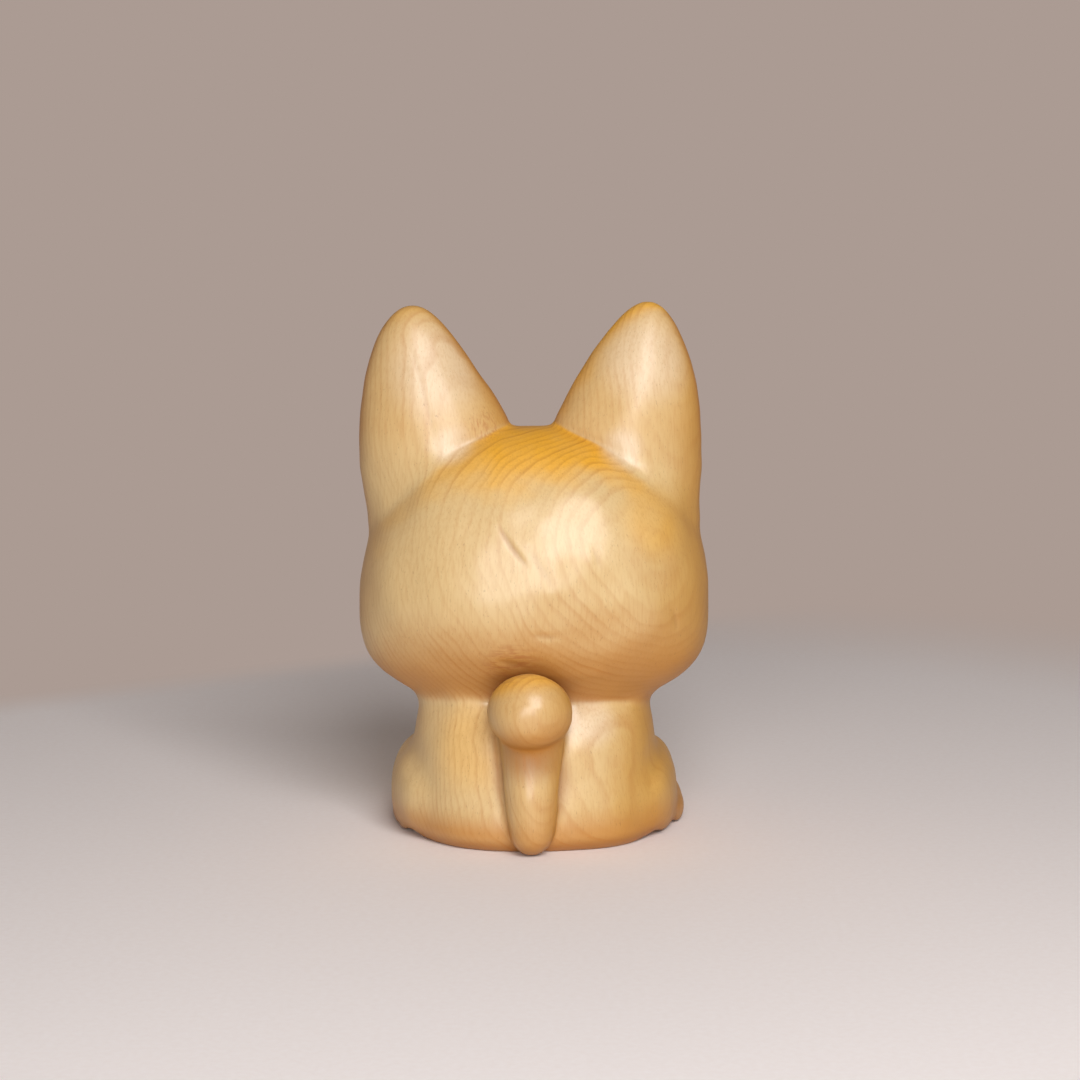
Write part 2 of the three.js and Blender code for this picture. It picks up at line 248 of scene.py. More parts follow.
# Eye beads: a peg, a turned collar and a dome. Radii and heights are shares of the bead's own radius.
EYES = ("left_eye", "right_eye")
EYE_FIT = -0.05  # a bead is pressed tight into its socket
EYE_RIM = 0.6  # and the socket's rim is eased
EYE_PEG = ((0.0, -0.96), (0.336, -0.94), (0.42, -0.84), (0.42, -0.3))
EYE_COLLAR = ((0.86, -0.28), (0.95, -0.2), (0.97, -0.08), (0.95, 0.06), (0.89, 0.1))
EYE_DOME = 0.92  # radius at its foot
EYE_DOME_FOOT = 0.3  # height of its foot, in millimetres
EYE_DOME_STEPS = 12
EYE_SIDES = 40

# Boxwood: its tones
WOOD = {
    "honey": on_screen(195, 147, 66),
    "cream": on_screen(208, 178, 126),
    "late_wood": on_screen(170, 104, 28),
    "amber": on_screen(238, 173, 36),
    # the tone of painted shade on flanks, undersides and near the ground
    "russet_shade": on_screen(180, 117, 36),
    "pore": on_screen(112, 70, 28),
    "torn": on_screen(164, 98, 50),
    "handled": on_screen(194, 145, 77),
    # the tone of the painted highlight
    "painted_highlight": on_screen(218, 196, 166),
    # darker wax in the hollows, and the tone of painted shade in hollows, cuts, under the tip and at the
    # ground
    "dark_wax_and_shade": on_screen(136, 78, 30),
}

# Its growth: the run of the fibres, and the layers of the years
FIBRE = Vector((0.15, -0.22, 0.96)).normalized()
LAYERS = {
    "across": Vector((-0.54, 0.80, 0.27)).normalized(),
    "sideways": Vector((0.83, 0.56, 0.0)).normalized(),
    "radius": 140.0,  # of their bend
    "per_millimetre": 1.25,
    "swells": ((19.0, 4.0), (5.0, 0.9)),  # their lengths and heights
    "year": ((0.0, 0.0), (0.45, 0.12), (0.8, 1.0), (0.9, 0.75), (1.0, 0.0)),  # shares of it, and how dark
    "faint_year": 0.3,  # how dark the faintest year is
    "patch": 11.0,  # length of the patches in which they show more or less
    "faint_patch": 0.3,  # and what is left of them in the faintest
}
# Fine structure: lengths along the three axes, and detail
STREAKS = {
    "fibre": ((0.26, 0.26, 3.4), 3.0),
    "pore": ((0.13, 0.13, 0.6), 1.0),
    "torn": ((1 / 3.6, 1 / 3.6, 1 / 0.7), 4.0),
    "chipped": ((1 / 0.5, 1 / 1.6, 1 / 2.4), 3.0),
    "ebony": ((0.16, 0.16, 1.6), 3.0),
}
ROUGH_LENGTH = 0.9  # of the unevenness under the wax
# End grain takes up more wax, on the top of the head and on the tail's tip
END_GRAIN = {
    "swells": (5.0, 0.3),
    "tail_rise": (0.0, 0.9, 1.0),  # direction along which the tail's tip begins
    "in_front": 0.5,  # what is left of it there
    "at_left": 0.5,
    "patch": 4.5,  # length of the patches of wax
    "faint_patch": 0.82,  # and what is left of the wax in the faintest
}
HONEY_SIDE = {"towards": (-0.92, 0.0, -0.4), "swells": (8.0, 9.0)}  # the side towards which the wood's own tone turns honey; what faces that side gets painted shade

# Where each look has no strength yet, and where it has its full strength
SPANS = {
    # heights, and places along a direction
    "head": (24.0, 30.0),
    "ear": (46.0, 53.0),
    "tail_tip": (28.0, 33.0),
    "not_left": (11.0, 4.0),
    "honey_side": (1.0, 14.0),
    "low": (6.0, 1.2),
    "sole": (2.2, 0.0),
    # how far the skin faces a direction
    "end_grain": (0.26, 0.7),
    "under": (-0.06, -0.76),
    "behind": (-0.35, 0.25),
    "flank": (0.7, 0.15),
    # painted shade on what faces the honey side
    "faces_honey_side": (-0.35, -0.95),
    # values of noise
    "layer_patch": (0.3, 0.62),
    "amber_patch": (0.3, 0.7),
    "fibre": (0.58, 0.3),
    "pore": (0.66, 0.76),
    "torn": (0.4, 0.68),
    "chipped": (0.44, 0.62),
    "ebony": (0.45, 0.75),
    # depths of hollows and cuts
    "hollow": (0.08, 0.36),
    "worn": (-0.04, -0.2),
    "sheltered": (0.12, 0.7),
    "nick": (0.02, 0.14),
}
SPOT_CORE = 0.3  # share of a spot's reach over which it has its full strength
SPOTS = {
    "ear_root": Spot((6.4, 3.6, 52.0), 3.2),  # torn grain at the root of the left ear
    "above_tail": Spot((2.6, 14.8, 23.5), 4.6),  # chipped wood over the tail's tip
    "amber": Spot((-15.0, 10.4, 41.3), 6.5),  # a darker patch at the right of the head
    "tail_tip": Spot((0.7, 18.0, 19.0), 10.0),  # wood that hands have browned
    "tail_foot": Spot((0.6, 18.0, 6.0), 6.0),
    "torso_rings": Spot((-11.0, 10.5, 11.5), 9.0),  # bolder layers
    "shade_under_tip": Spot((0.6, 16.6, 13.0), 5.2),  # painted shadow under the tip
    "beside_tail": Spot((7.0, 12.0, 13.0), 7.5),  # golden wood at its left
}
PAINTED_HIGHLIGHT_SPOTS = (  # painted highlight: the sheen of the polish, painted as a pale tone on the ears, at their roots and under the head
    Spot((12.0, 3.8, 59.5), 8.5),
    Spot((-14.0, 3.6, 60.5), 7.5),
    Spot((10.2, 6.2, 49.8), 3.6),
    Spot((-11.0, 6.4, 49.5), 3.6),
    Spot((-7.0, 11.4, 16.0), 4.5),
)

# What lies over the bare wood, painted shade and highlights among it, from the first to the last
TINTS = (
    Tint("amber_grain", "amber", 1.0),
    Tint("amber_patch", "amber", 0.32),
    Tint("ear", "handled", 0.28),
    # Painted highlight of the polish
    Tint("painted_highlight", "painted_highlight", 0.6),
    # Painted shade on the flanks, where the skin turns sideways
    Tint("flank_shade", "russet_shade", 1.0),
    Tint("tail_tip", "handled", 0.5),
    Tint("tail_foot", "handled", 0.4),
    Tint("beside_tail", "amber", 0.25),
    # Painted shade: under the tail's tip, on what faces down, darker towards the ground, and a painted
    # contact shadow at the ground
    Tint("shade_under_tip", "dark_wax_and_shade", 0.7),
    Tint("under", "russet_shade", 0.78),
    Tint("low", "russet_shade", 0.95),
    Tint("sole", "dark_wax_and_shade", 0.6),
    Tint("layers", "late_wood", 1.0),
    Tint("fibre_lines", "late_wood", 0.16),
    Tint("pore", "pore", 0.3),
    Tint("torn", "torn", 0.45),
    Tint("chipped", "torn", 0.6),
    # Painted shade in the knife cuts
    Tint("nick", "dark_wax_and_shade", 0.4),
    Tint("worn", "cream", 0.15),
    # Painted shade in wide hollows, and in narrow ones painted shade with darker wax
    Tint("sheltered", "dark_wax_and_shade", 0.7),
    Tint("hollow", "dark_wax_and_shade", 0.35),
)
# Values with a share all over, and further shares where masks are. The first is the strength of the painted
# shade on the flanks.
FLANK_SHADE = {"all": 0.15, "head": 0.22, "ear": 0.43}
LAYER_LINES = {"all": 0.3, "end_grain": 0.35, "under": 0.2, "torso_rings": 0.3}
RELIEF = {"all": 0.0, "fibre": 0.5, "rough": 0.6, "pore": -0.6}
ROUGHNESS = {"all": 0.41, "fibre": 0.14, "end_grain": 0.2}
COAT = 0.8
COAT_LOST = {"end_grain": 0.85, "under": 0.75, "flank": 0.85, "shade_under_tip": 1.0, "ear": 0.5}
COAT_ROUGHNESS = 0.26
SHINE = 0.34  # of the wood under its coat
BUMP = {"Strength": 0.12, "Distance": 0.1 * MM}

# Ebony
EBONY = {"heart": on_screen(20, 14, 11), "fibre": on_screen(46, 30, 21)}
EBONY_ROUGHNESS = {"all": 0.16, "fibre": 0.12}
EBONY_COAT = 0.4
EBONY_COAT_ROUGHNESS = 0.08

# The stage: a pale sheet that ends in a plain taupe backdrop
STAGE = {
    "half_size": 4000.0,
    "squares": 8,
    "sheet": on_screen(253, 246, 245),
    "sheet_shade": on_screen(246, 236, 233),
    "tooth": (0.8, 3.0),  # length and detail of the paper's tooth
    "roughness": 0.9,
    "backdrop": on_screen(171, 155, 147),
    "backdrop_towards": Vector((0.55, -0.84, 0)).normalized(),
    "backdrop_line": (96.0, 114.0),  # along that direction the sheet passes into the backdrop
    "backdrop_round": (108.0, 175.0),  # and so it does at these distances all round
    "air": (0.080, 0.066, 0.056, 1.0),
    "front_light": (0.29, 0.265, 0.25, 1.0),
    "front_light_span": (-0.3, -1.0),  # how far a direction looks backward
}
LAMP_TARGET = (0.0, 0.0, 30.0)
LAMPS = {
    "key": Lamp(azimuth=196.0, elevation=33.0, distance=480.0, width=260.0, height=260.0, power=1.74),
    "fill": Lamp(azimuth=176.0, elevation=8.0, distance=600.0, width=300.0, height=300.0, power=1.75),
    "sheet": Lamp(
        azimuth=8.0, elevation=1.8, distance=1500.0, width=900.0, height=80.0, power=9.0, glossy=False
    ),
}
CAMERA = {
    "azimuth": 180.17,
    "elevation": 9.06,
    "distance": 400.0,
    "target": (-0.74, 0.0, 37.1),
    "view_angle": 19.5,
    "nearest": 10.0,
}


# The block and its distance fields
def box_of(node):
    """A node's lowest and highest corners, in millimetres."""
    return tuple(np.array(corner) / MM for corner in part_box(node))


CORNERS = np.array([box_of(node) for node in FORMS])
BLOCK_LOW = CORNERS[:, 0].min(axis=0) - ROOM
BLOCK_COUNTS = np.ceil((CORNERS[:, 1].max(axis=0) + ROOM - BLOCK_LOW) / STEP).astype(int) + 1


def block_line(axis):
    """Places of the block's points along one axis."""
    return BLOCK_LOW[axis] + STEP * np.arange(BLOCK_COUNTS[axis])


def read_all(items, name, width=1, kind=float):
    """One property of all of a mesh's items, in rows where it is wider than one value."""
    values = np.empty(len(items) * width, kind)
    items.foreach_get(name, values)
    return values if width == 1 else values.reshape(-1, width)


def skin_points(node):
    """Vertices, in millimetres, and triangles of a form of the frame."""
    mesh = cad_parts[node].data
    mesh.calc_loop_triangles()
    return read_all(mesh.vertices, "co", 3) / MM, read_all(mesh.loop_triangles, "vertices", 3, np.int32)


def hull(points):
    """The points and triangles of the convex skin round some points."""
    shell = bmesh.new()
    for point in points:
        shell.verts.new(point)
    made = bmesh.ops.convex_hull(shell, input=shell.verts)
    left_over = set(made["geom_interior"] + made["geom_unused"])
    bmesh.ops.delete(shell, geom=list(left_over), context="VERTS")
    shell.verts.index_update()
    corners = np.array([vertex.co for vertex in shell.verts])
    triangles = np.array([[vertex.index for vertex in face.verts] for face in shell.faces])
    shell.free()
    return corners, triangles


def distance_field(points, triangles):
    """Distance of each point of the block from a closed skin, negative inside it."""
    places = ((points - BLOCK_LOW) / STEP).astype(np.float32)
    grid = openvdb.FloatGrid.createLevelSetFromPolygons(
        places, triangles=triangles.astype(np.uint32), halfWidth=REACH / STEP
    )
    field = np.empty(BLOCK_COUNTS, np.float32)
    grid.copyToArray(field)
    return field * np.float32(STEP)


def window_of(field):
    """The part of the block in which a form's distances are told apart."""
    near = field < FAR
    spans = []
    for axis in range(3):
        others = tuple(other for other in range(3) if other != axis)
        found = np.flatnonzero(near.any(axis=others))
        spans.append(slice(found[0], found[-1] + 1))
    return tuple(spans)


def softened(field, depth):
    """A field averaged over about that depth."""
    spectrum = np.fft.rfftn(field)
    for axis, count in enumerate(field.shape):
        frequency = np.fft.rfftfreq(count) if axis == 2 else np.fft.fftfreq(count)
        falloff = np.exp(-2 * (math.pi * depth / STEP * frequency) ** 2)
        spectrum *= np.expand_dims(falloff, [other for other in range(3) if other != axis])
    return np.fft.irfftn(spectrum, s=field.shape, axes=(0, 1, 2)).astype(np.float32)


def rubbed(field, depth):
    """A form with its facets and edges rubbed down."""
    window = window_of(field)
    smooth = field.copy()
    smooth[window] = softened(field[window], depth)
    return smooth


def flowed(first, second, width):
    """Two forms as one, run together over that width where they meet."""
    near = np.clip(1 - np.abs(first - second) / width, 0, None)
    return np.minimum(first, second) - near**2 * (width / 4)


def joined(first, second, mass):
    """What is carved so far and a further mass as one, with the knife line along their crease."""
    aside = np.interp(np.abs(block_line(0)), SIDES_FROM, (mass.flow, mass.side_flow))
    crease = np.clip(1 - np.abs(first - second) / GROOVE_WIDTH, 0, None)
    return flowed(first, second, aside[:, None, None]) + mass.groove * crease**2


def cut(field, tool, ease):
    """A form with a tool's shape taken out of it, and the rim of the cut eased over that width."""
    return -flowed(-field, tool, ease)


def sampled(field, points):
    """A field's values at points anywhere in the block."""
    place = np.clip((points - BLOCK_LOW) / STEP, 0, BLOCK_COUNTS - LAST_PLACE)
    corner = place.astype(int)
    share = place - corner
    total = 0
    for step in np.ndindex(2, 2, 2):
        weight = np.prod(np.where(step, share, 1 - share), axis=1)
        total = total + weight * field[tuple((corner + step).T)]
    return total


def slopes_of(field, points):
    """Unit directions in which a field grows fastest, at points in the block."""
    slope = np.empty((len(points), 3))
    for axis in range(3):
        shift = np.zeros(3)
        shift[axis] = STEP
        slope[:, axis] = sampled(field, points + shift) - sampled(field, points - shift)
    return slope / np.maximum(np.linalg.norm(slope, axis=1, keepdims=True), LEAST_SLOPE)


def onto_skin(field, points):
    """The nearest points on a form's skin."""
    for _ in range(SKIN_STEPS):
        points = points - slopes_of(field, points) * sampled(field, points)[:, None]
    return points


# Forms and masses
def drawn_in(node, points):
    """A form's points, with its back drawn in."""
    if node in BACKS:
        back = BACKS[node]
        share = np.interp(points[:, 2], back.heights, back.shares)
        share = share * np.interp(points[:, 1], back.sets_in, (0, 1))
        points[:, 1] -= back.depth * share * share * (3 - 2 * share)
    return points


def form_field(node):
    """A form's own distance field. The head is taken without the sockets, and soles are drawn down."""
    points, triangles = skin_points(node)
    if node == "head":
        points, triangles = hull(points)
    points = drawn_in(node, points)
    points[points[:, 2] < ON_GROUND, 2] -= BELOW_GROUND
    return distance_field(points, triangles)


def tucked(field, depth):
    """A form whose sides round under to the ground."""
    low = np.clip(1 - block_line(2) / TUCK_HEIGHT, 0, 1)
    return field + depth * (1 - np.sqrt(1 - low**2))


def finished(node, field):
    """A form rubbed down, drawn out over its hairlines and tucked in at the ground."""
    form = FORMS[node]
    return tucked(rubbed(field, form.rub) - form.regain, form.tuck)


def hand_waves():
    """Slow swells over the block, as a knife leaves them."""
    noise = np.random.default_rng(WAVE_SEED).standard_normal(BLOCK_COUNTS)
    total = 0
    for length, height in HAND_WAVES.items():
        swells = softened(noise, length)
        total = total + swells * (height / swells.std())
    return total


def run_together(fields):
    """All the forms as one field, mass by mass, with the swells of hand work."""
    whole = None
    for mass in MASSES:
        shaped = [finished(node, fields[node]) for node in mass.forms]
        further = functools.reduce(functools.partial(flowed, width=mass.inner_flow), shaped)
        whole = further if whole is None else joined(whole, further, mass)
    return softened(whole, LAST_RUB) + hand_waves()


def with_sockets(field):
    """A field with a socket cut for each eye bead."""
    for node in EYES:
        field = cut(field, distance_field(*skin_points(node)) - EYE_FIT, EYE_RIM)
    return field


def in_box(field):
    """A form cut off softly where it would stand out of the frame's own box."""
    low, high = np.array(cad_box) / MM
    sides = [np.abs(block_line(axis) - (low + high)[axis] / 2) - (high - low)[axis] / 2 for axis in range(3)]
    box = np.maximum.reduce(np.meshgrid(*sides, indexing="ij"))
    return -flowed(-field, -box, BOX_EASE)


# Strokes of the knife
def stroke_path(field, stroke):
    """Even steps along a stroke, on the skin."""
    corners = np.array(stroke.path)
    lengths = np.concatenate([[0], np.cumsum(np.linalg.norm(np.diff(corners, axis=0), axis=1))])
    steps = np.linspace(0, lengths[-1], math.ceil(lengths[-1] / STROKE_STEP) + 1)
    points = np.stack([np.interp(steps, lengths, corners[:, axis]) for axis in range(3)], axis=1)
    return onto_skin(field, points)


def carved(field, stroke):
    """A form with one stroke cut into its skin, running out at both ends."""
    path = stroke_path(field, stroke)
    depths = stroke.depth * np.sqrt(np.sin(np.linspace(*STROKE_SWELL, len(path)) * math.pi))
    radius = (stroke.width**2 / 4 + stroke.depth**2) / (2 * stroke.depth)
    centres = path + slopes_of(field, path) * (radius - depths)[:, None]

    first = ((path.min(axis=0) - stroke.width - BLOCK_LOW) / STEP).astype(int)
    last = ((path.max(axis=0) + stroke.width - BLOCK_LOW) / STEP).astype(int) + STROKE_ROOM
    window = tuple(slice(low, high) for low, high in zip(first, last))
    lines = [block_line(axis)[window[axis]] for axis in range(3)]
    places = np.stack(np.meshgrid(*lines, indexing="ij"), axis=-1)
    tool = np.min([np.linalg.norm(places - centre, axis=-1) for centre in centres], axis=0) - radius
    field = field.copy()
    field[window] = cut(field[window], tool, STROKE_EASE)
    return field


def toe_strokes(node):
    """The two lines between a paw's toes."""
    low, high = box_of(node)
    middle, half = (low + high) / 2, (high - low) / 2
    turns = np.radians(np.linspace(*TOE_TURNS[node], TOE_POINTS))
    for side in (-1, 1):
        x = middle[0] + side * TOE_APART * half[0]
        path = [(x, middle[1] - half[1] * math.cos(t), middle[2] + half[2] * math.sin(t)) for t in turns]
        yield Stroke(tuple(path), **TOE_LINE)


def mouth_strokes():
    """The line under the nose and the two sides of the mouth."""
    low, high = box_of("muzzle")
    for line in MOUTH:
        path = [(out * (high[0] - low[0]), low[1], low[2] + up * (high[2] - low[2])) for out, up in line]
        yield Stroke(tuple(path), **MOUTH_LINE)


def all_strokes():
    """Every stroke, in the order of the work."""
    yield from KNIFE_MARKS
    yield from mouth_strokes()
    for node in TOE_TURNS:
        yield from toe_strokes(node)


# From fields to meshes
def mesh_of(field, name, first=(0, 0, 0)):
    """The skin of a field as a mesh, in millimetres. First is the block's point where the field starts."""
    grid = openvdb.FloatGrid(REACH)
    grid.copyFromArray(np.ascontiguousarray(field, np.float32))
    places, quads = grid.convertToQuads()
    mesh = bpy.data.meshes.new(name)
    mesh.from_pydata((places + np.array(first)) * STEP + BLOCK_LOW, [], quads.tolist())
    return mesh


def add_object(name, data):
    """An object in the scene, from a mesh, a light or a camera."""
    thing = bpy.data.objects.new(name, data)
    bpy.context.scene.collection.objects.link(thing)
    return thing


def parted(blank, tool, operation):
    """What is left of a closed object after a cut with another."""
    modifier = blank.modifiers.new("part", "BOOLEAN")
    modifier.operation = operation
    modifier.solver = "MANIFOLD"
    modifier.object = tool
    evaluated = blank.evaluated_get(bpy.context.evaluated_depsgraph_get())
    mesh = bpy.data.meshes.new_from_object(evaluated)
    blank.modifiers.remove(modifier)
    return mesh


def cell_mesh(node, rivals, fields):
    """A closed skin round all that lies nearer to this form than to its rivals."""
    window = window_of(fields[node])
    own = fields[node][window]
    nearest_rival = np.min([fields[rival][window] for rival in rivals], axis=0)
    cell = np.maximum(own - nearest_rival, own - PART_REACH)
    return mesh_of(softened(cell, STEP), "cell", [span.start for span in window])


def part_at_creases(field, fields):
    """The carving's skin parted into a closed mesh for each form, from the last form to the first."""
    block = add_object("block", mesh_of(field, "block"))
    nodes = list(FORMS)
    parts = {}
    while len(nodes) > 1:
        node = nodes.pop()
        cell = add_object("cell", cell_mesh(node, nodes, fields))
        parts[node] = parted(block, cell, "INTERSECT")
        block.data = parted(block, cell, "DIFFERENCE")
        bpy.data.objects.remove(cell)
    parts[nodes[0]] = block.data
    bpy.data.objects.remove(block)
    return parts


def islands(work):
    """Lists of the faces that hang together."""
    unseen = set(work.faces)
    while unseen:
        rim = [unseen.pop()]
        island = list(rim)
        while rim:
            near = {other for face in rim for side in face.edges for other in side.link_faces}
            rim = list(near & unseen)
            unseen.difference_update(rim)
            island.extend(rim)
        yield island


def clean_cuts(mesh):
    """Welds the slivers that cuts leave, fans out faces of many corners and takes loose crumbs away."""
    work = bmesh.new()
    work.from_mesh(mesh)
    bmesh.ops.remove_doubles(work, verts=work.verts, dist=WELD)
    bmesh.ops.dissolve_degenerate(work, edges=work.edges, dist=WELD)
    bmesh.ops.poke(work, faces=[face for face in work.faces if len(face.verts) > MOST_CORNERS])
    crumbs = [face for island in islands(work) if len(island) < CRUMB for face in island]
    bmesh.ops.delete(work, geom=crumbs, context="FACES")
    work.to_mesh(mesh)
    work.free()


def skin_normals(mesh, field, points):
    """A normal for each corner: the carving's own on its outer skin, and the face's own at the parting."""
    corner_counts = read_all(mesh.polygons, "loop_total", 1, np.int32)
    corners = read_all(mesh.loops, "vertex_index", 1, np.int32)
    face_of = np.repeat(np.arange(len(mesh.polygons)), corner_counts)
    flat = read_all(mesh.polygons, "normal", 3)[face_of]
    smooth = slopes_of(field, points)[corners]
    on_skin = np.abs(sampled(field, points))[corners] < SKIN_NEAR
    same_way = np.einsum("ij,ij->i", flat, smooth) > SKIN_TURN
    first_corners = np.concatenate([[0], np.cumsum(corner_counts)[:-1]])
    outer = np.minimum.reduceat(on_skin & same_way, first_corners)
    return np.where(outer[face_of][:, None], smooth, flat)


def finish_skin(mesh, field, marks):
    """Gives a piece the carving's normals and the marks of hollows, and turns millimetres into metres."""
    points = read_all(mesh.vertices, "co", 3)
    for name, mark in marks.items():
        depth = sampled(mark, points).astype(np.float32)
        mesh.attributes.new(name, "FLOAT", "POINT").data.foreach_set("value", depth)
    normals = skin_normals(mesh, field, points)
    mesh.transform(Matrix.Scale(MM, 4))
    mesh.polygons.foreach_set("use_smooth", np.ones(len(mesh.polygons), bool))
    mesh.normals_split_custom_set(normals)


# Eye beads
def turned(profile, sides):
    """A closed mesh turned about Z from radii and heights. The first and last points lie on the axis."""
    work = bmesh.new()
    rings = []
    for radius, height in profile[1:-1]:
        turns = [2 * math.pi * side / sides for side in range(sides)]
        rings.append([work.verts.new((radius * math.cos(t), radius * math.sin(t), height)) for t in turns])
    bottom, top = (work.verts.new((0, 0, profile[end][1])) for end in (0, -1))
    for side in range(sides):
        after = (side + 1) % sides
        work.faces.new((bottom, rings[0][after], rings[0][side]))
        work.faces.new((top, rings[-1][side], rings[-1][after]))
        for lower, upper in zip(rings, rings[1:]):
            work.faces.new((lower[side], lower[after], upper[after], upper[side]))
    for face in work.faces:
        face.smooth = True
    mesh = bpy.data.meshes.new("turned")
    work.to_mesh(mesh)
    work.free()
    return mesh


def bead_profile(radius):
    """Radii and heights of a bead, from the end of its peg to the top of its dome."""
    profile = [(out * radius, up * radius) for out, up in EYE_PEG + EYE_COLLAR]
    for step in range(EYE_DOME_STEPS):
        turn = math.pi / 2 * step / EYE_DOME_STEPS
        height = EYE_DOME_FOOT + (radius - EYE_DOME_FOOT) * math.sin(turn)
        profile.append((EYE_DOME * radius * math.cos(turn), height))
    return profile + [(0, radius)]


def eye_bead(node, finish, face):
    """An ebony bead, sunk in its socket and looking straight out of the face."""
    low, high = box_of(node)
    middle = (low + high) / 2
    mesh = turned(bead_profile((high - low).max() / 2), EYE_SIDES)
    outward = slopes_of(face, middle[None])[0]
    turn = Vector(outward).to_track_quat("Z", "Y").to_matrix().to_4x4()
    mesh.transform(Matrix.Scale(MM, 4) @ Matrix.Translation(middle) @ turn)
    bead = add_object("bead_" + node, mesh)
    mesh.materials.append(finish)
    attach(bead, "root")
    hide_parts(node)


# Finishes
class Wire:
    """One output of a finish's nodes. Arithmetic on it adds Math nodes."""

    def __init__(self, tree, socket=None):
        self.tree = tree
        self.socket = socket

    def add(self, kind, settings=None, inputs=None, output=0):
        """Adds a node: its settings first, then its inputs' values or wires. Gives one of its outputs."""
        node = self.tree.nodes.new(kind)
        for name, value in (settings or {}).items():
            if name == "stops":
                while len(node.color_ramp.elements) < len(value):
                    node.color_ramp.elements.new(1)
                for stop, (position, shade) in zip(node.color_ramp.elements, value):
                    stop.position = position
                    stop.color = (shade, shade, shade, 1)
            else:
                setattr(node, name, value)
        for name, value in (inputs or {}).items():
            if isinstance(value, Wire):
                self.tree.links.new(value.socket, node.inputs[name])
            else:
                node.inputs[name].default_value = value
        return Wire(self.tree, node.outputs[output]) if node.outputs else None

    def math(self, operation, first, second=0.0):
        return self.add("ShaderNodeMath", {"operation": operation}, {0: first, 1: second})

    def vector_math(self, operation, second, output):
        return self.add("ShaderNodeVectorMath", {"operation": operation}, {0: self, 1: second}, output)

    def __add__(self, other):
        return self.math("ADD", self, other)

    def __sub__(self, other):
        return self.math("SUBTRACT", self, other)

    def __rsub__(self, other):
        return self.math("SUBTRACT", other, self)

    def __mul__(self, other):
        return self.math("MULTIPLY", self, other)

    __radd__ = __add__
    __rmul__ = __mul__

    def floor(self):
        return self.math("FLOOR", self)

    def fraction(self):
        return self.math("FRACT", self)

    def size(self):
        return self.math("ABSOLUTE", self)

    def along(self, direction):
        """How far a place or a direction goes along another direction."""
        return self.vector_math("DOT_PRODUCT", direction, "Value")

    def away_from(self, place):
        return self.vector_math("DISTANCE", place, "Value")

    def stretched(self, by):
        return self.vector_math("MULTIPLY", by, "Vector")

    def between(self, none, full):
        """0 up to one value, 1 from the other on, and a soft change between them, upward or downward."""
        span = {"Value": self, "From Min": none, "From Max": full}
        return self.add("ShaderNodeMapRange", {"interpolation_type": "SMOOTHSTEP"}, span)

    def lifted(self, least):
        """A value from 0 to 1 as one that starts at the least."""
        return least + (1 - least) * self

    def either(self, other):
        """1 where this value or the other one is."""
        return self + (1 - self) * other

    def near(self, spot):
        """1 in the core of a spot, and softly less out to its reach."""
        return self.away_from(spot.place).between(spot.reach, SPOT_CORE * spot.reach)

    def cloud(self, length, detail=2.0):
        """Soft noise about a half, with swells of that length."""
        inputs = {"Vector": self, "Scale": 1 / length, "Detail": detail}
        return self.add("ShaderNodeTexNoise", {}, inputs, "Fac")

    def swells(self, length, height):
        """Soft noise about nought, with swells of that length and height."""
        return (self.cloud(length) - 0.5) * height

    def streaks(self, lengths, detail):
        """Noise about a half, with its own length along each axis."""
        return self.stretched([1 / length for length in lengths]).cloud(1.0, detail)

    def mixed(self, first, second):
        """From the first colour to the second as this value goes from 0 to 1."""
        # A Mix node's colours are its inputs 6 and 7 and its output 2
        return self.add("ShaderNodeMix", {"data_type": "RGBA"}, {0: self, 6: first, 7: second}, 2)


def new_finish(name):
    """A material with no nodes yet, a wire to start from, and the place on the object in millimetres."""
    finish = bpy.data.materials.new(name)
    finish.use_nodes = True
    finish.node_tree.nodes.clear()
    start = Wire(finish.node_tree)
    place = start.add("ShaderNodeTexCoord", output="Object").stretched((1 / MM, 1 / MM, 1 / MM))
    return finish, start, place


def shared(shares, masks):
    """A value with a share all over, and further shares where masks are."""
    return shares["all"] + sum(share * masks[name] for name, share in shares.items() if name != "all")


def layer_lines(place):
    """Late wood at the end of each year's layer, bolder in some years and in some patches."""
    sideways = place.along(LAYERS["sideways"])
    bend = sideways * sideways * (0.5 / LAYERS["radius"])
    swells = sum(place.swells(*swell) for swell in LAYERS["swells"])
    years = (place.along(LAYERS["across"]) + bend + swells) * LAYERS["per_millimetre"]
    line = place.add("ShaderNodeValToRGB", {"stops": LAYERS["year"]}, {"Fac": years.fraction()})
    one_each = {"noise_dimensions": "1D"}
    boldness = place.add("ShaderNodeTexWhiteNoise", one_each, {"W": years.floor()}, "Value")
    patches = place.cloud(LAYERS["patch"]).between(*SPANS["layer_patch"])
    return line * boldness.lifted(LAYERS["faint_year"]) * patches.lifted(LAYERS["faint_patch"])


def end_grain_mask(place, facing, head):
    """Where fibres end in the skin of the head or the tail's tip, with less at the front and the left."""
    across = (facing.along(FIBRE) + place.swells(*END_GRAIN["swells"])).between(*SPANS["end_grain"])
    tail_tip = place.along(END_GRAIN["tail_rise"]).between(*SPANS["tail_tip"])
    behind = facing.along(BACKWARD).between(*SPANS["behind"])
    not_left = place.along(LEFT).between(*SPANS["not_left"])
    fading = behind.lifted(END_GRAIN["in_front"]) * not_left.lifted(END_GRAIN["at_left"])
    return across * head.either(tail_tip) * fading


def honey_side_mask(place, facing):
    """Where the wood turns honey: its own tone towards one side, and painted shade on what faces that side.
    """
    side = (place.along(HONEY_SIDE["towards"]) + place.swells(*HONEY_SIDE["swells"])).between(*SPANS["honey_side"])
    return side.either(facing.along(LEFT).between(*SPANS["faces_honey_side"]))


def skin_mark(start, name):
    """A mark that the carving's skin carries."""
    return start.add("ShaderNodeAttribute", {"attribute_name": name}, output="Fac")


